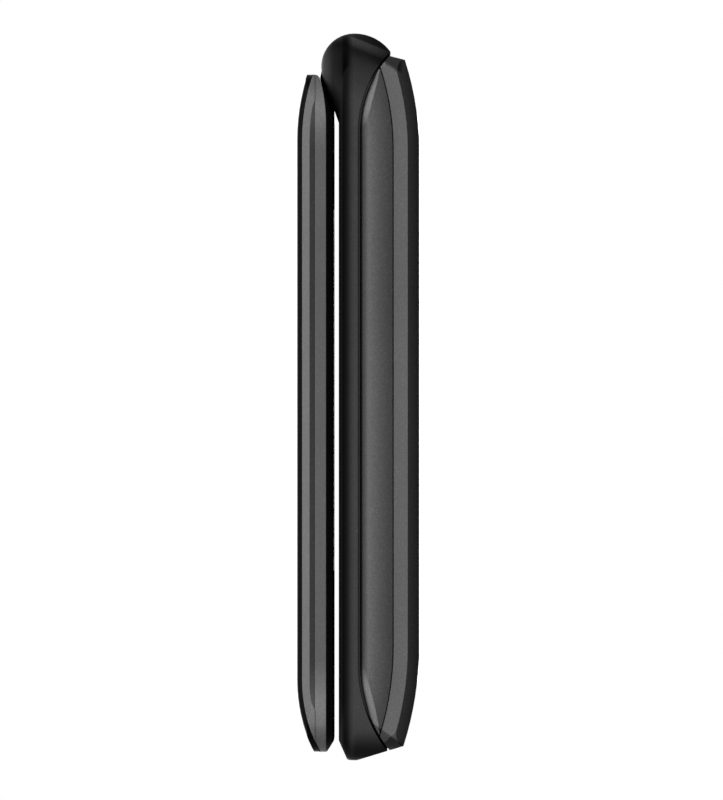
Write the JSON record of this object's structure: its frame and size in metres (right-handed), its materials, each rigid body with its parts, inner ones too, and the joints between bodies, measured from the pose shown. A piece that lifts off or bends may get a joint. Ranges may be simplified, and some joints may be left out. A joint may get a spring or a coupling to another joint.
{
  "type": "clamshell mobile phone",
  "caption": "Closed clamshell phone with faceted almond-shaped sides, domed hinge ears, keypad under the lid, outer display and lift-off battery cover.",
  "frame": {"origin": "middle of the back face that the phone lies on", "axes": "+Z from the back to the outer face of the closed lid, +Y towards the hinge end, +X towards the bare right side; the volume rocker is on the -X side"},
  "size_m": [0.054, 0.108, 0.0183],
  "materials": {
    "front_grey": "satin dark grey lacquer",
    "body_grey": "satin grey lacquer",
    "cover_dark": "satin dark grey lacquer",
    "lid_black": "black, high gloss",
    "outer_black": "black, high gloss",
    "trim_silver": "metallic grey paint",
    "key_face": "satin dark grey key lacquer",
    "key_silver": "metallic silver paint",
    "display_glass": "hard-coated clear window, smoked",
    "display": "display module",
    "board": "solder-resist laminate",
    "can": "tin-plated steel",
    "battery_wrap": "printed wrap over an aluminium can",
    "gold": "gold-plated contacts",
    "steel": "machined steel",
    "black_part": "black moulded plastic",
    "flex": "amber polyimide",
    "cap_rubber": "soft black rubber",
    "sheet": "clear film with steel domes"
  },
  "bodies": {
    "base": {"front_housing": "front_grey", "seam_gasket": "cap_rubber", "rear_housing": "body_grey", "battery": "battery_wrap", "battery_contacts": "gold", "main_board": "board", "shield_can": "can", "dome_sheet": "sheet", "microphone": "can", "loudspeaker": "black_part", "vibration_motor": "steel", "aerial": "black_part", "charge_port": "can", "base_screws": "steel", "hinge_sleeve": "steel", "hinge_flex": "flex", "hinge_cam": "steel"},
    "battery_cover": {"battery_cover": "cover_dark"},
    "volume_rocker": {"volume_rocker": "key_silver"},
    "lid": {"lid_inner_housing": "lid_black", "lid_shell": "body_grey", "lid_trim_frame": "trim_silver", "lid_outer_cover": "outer_black", "outer_display_window": "display_glass", "outer_display": "display", "main_display_window": "display_glass", "main_display": "display", "camera_window": "display_glass", "camera_module": "black_part", "earpiece_grille": "steel", "earpiece_speaker": "black_part", "lid_board": "board", "lid_screws": "steel", "lid_screw_caps": "cap_rubber", "hinge_cartridge": "steel"},
    "number_key_1": {"number_key_1": "key_face"},
    "number_key_2": {"number_key_2": "key_face"},
    "number_key_3": {"number_key_3": "key_face"},
    "number_key_4": {"number_key_4": "key_face"},
    "number_key_5": {"number_key_5": "key_face"},
    "number_key_6": {"number_key_6": "key_face"},
    "number_key_7": {"number_key_7": "key_face"},
    "number_key_8": {"number_key_8": "key_face"},
    "number_key_9": {"number_key_9": "key_face"},
    "number_key_star": {"number_key_star": "key_face"},
    "number_key_0": {"number_key_0": "key_face"},
    "number_key_hash": {"number_key_hash": "key_face"},
    "soft_key_left": {"soft_key_left": "key_face"},
    "soft_key_right": {"soft_key_right": "key_face"},
    "send_key": {"send_key": "key_face"},
    "end_key": {"end_key": "key_face"},
    "clear_key": {"clear_key": "key_face"},
    "navigation_ring": {"navigation_ring": "key_silver"},
    "centre_key": {"centre_key": "key_silver"}
  },
  "joints": [
    {"name": "lid_hinge", "type": "hinge", "parent": "base", "child": "lid", "pos_m": [0, 0.04908, 0.00962], "axis": [-1, 0, 0], "range_deg": [0, 145]},
    {"name": "battery_cover_release", "type": "slide", "parent": "base", "child": "battery_cover", "axis": [0, 0, -1], "range_m": [0, 0.012]},
    {"name": "volume_rocker_tilt", "type": "hinge", "parent": "base", "child": "volume_rocker", "pos_m": [-0.0232, 0.02, 0.007], "axis": [0, 0, 1], "range_deg": [-1.5, 1.5], "stiffness_Nm_per_rad": 0.5},
    {"name": "number_key_1_press", "type": "slide", "parent": "base", "child": "number_key_1", "axis": [0, 0, -1], "range_m": [0, 0.00035], "stiffness_N_per_m": 4000},
    {"name": "number_key_2_press", "type": "slide", "parent": "base", "child": "number_key_2", "axis": [0, 0, -1], "range_m": [0, 0.00035], "stiffness_N_per_m": 4000},
    {"name": "number_key_3_press", "type": "slide", "parent": "base", "child": "number_key_3", "axis": [0, 0, -1], "range_m": [0, 0.00035], "stiffness_N_per_m": 4000},
    {"name": "number_key_4_press", "type": "slide", "parent": "base", "child": "number_key_4", "axis": [0, 0, -1], "range_m": [0, 0.00035], "stiffness_N_per_m": 4000},
    {"name": "number_key_5_press", "type": "slide", "parent": "base", "child": "number_key_5", "axis": [0, 0, -1], "range_m": [0, 0.00035], "stiffness_N_per_m": 4000},
    {"name": "number_key_6_press", "type": "slide", "parent": "base", "child": "number_key_6", "axis": [0, 0, -1], "range_m": [0, 0.00035], "stiffness_N_per_m": 4000},
    {"name": "number_key_7_press", "type": "slide", "parent": "base", "child": "number_key_7", "axis": [0, 0, -1], "range_m": [0, 0.00035], "stiffness_N_per_m": 4000},
    {"name": "number_key_8_press", "type": "slide", "parent": "base", "child": "number_key_8", "axis": [0, 0, -1], "range_m": [0, 0.00035], "stiffness_N_per_m": 4000},
    {"name": "number_key_9_press", "type": "slide", "parent": "base", "child": "number_key_9", "axis": [0, 0, -1], "range_m": [0, 0.00035], "stiffness_N_per_m": 4000},
    {"name": "number_key_star_press", "type": "slide", "parent": "base", "child": "number_key_star", "axis": [0, 0, -1], "range_m": [0, 0.00035], "stiffness_N_per_m": 4000},
    {"name": "number_key_0_press", "type": "slide", "parent": "base", "child": "number_key_0", "axis": [0, 0, -1], "range_m": [0, 0.00035], "stiffness_N_per_m": 4000},
    {"name": "number_key_hash_press", "type": "slide", "parent": "base", "child": "number_key_hash", "axis": [0, 0, -1], "range_m": [0, 0.00035], "stiffness_N_per_m": 4000},
    {"name": "soft_key_left_press", "type": "slide", "parent": "base", "child": "soft_key_left", "axis": [0, 0, -1], "range_m": [0, 0.00035], "stiffness_N_per_m": 4000},
    {"name": "soft_key_right_press", "type": "slide", "parent": "base", "child": "soft_key_right", "axis": [0, 0, -1], "range_m": [0, 0.00035], "stiffness_N_per_m": 4000},
    {"name": "send_key_press", "type": "slide", "parent": "base", "child": "send_key", "axis": [0, 0, -1], "range_m": [0, 0.00035], "stiffness_N_per_m": 4000},
    {"name": "end_key_press", "type": "slide", "parent": "base", "child": "end_key", "axis": [0, 0, -1], "range_m": [0, 0.00035], "stiffness_N_per_m": 4000},
    {"name": "clear_key_press", "type": "slide", "parent": "base", "child": "clear_key", "axis": [0, 0, -1], "range_m": [0, 0.00035], "stiffness_N_per_m": 4000},
    {"name": "navigation_ring_press", "type": "slide", "parent": "base", "child": "navigation_ring", "axis": [0, 0, -1], "range_m": [0, 0.00035], "stiffness_N_per_m": 4000},
    {"name": "centre_key_press", "type": "slide", "parent": "base", "child": "centre_key", "axis": [0, 0, -1], "range_m": [0, 0.00035], "stiffness_N_per_m": 4000}
  ]
}
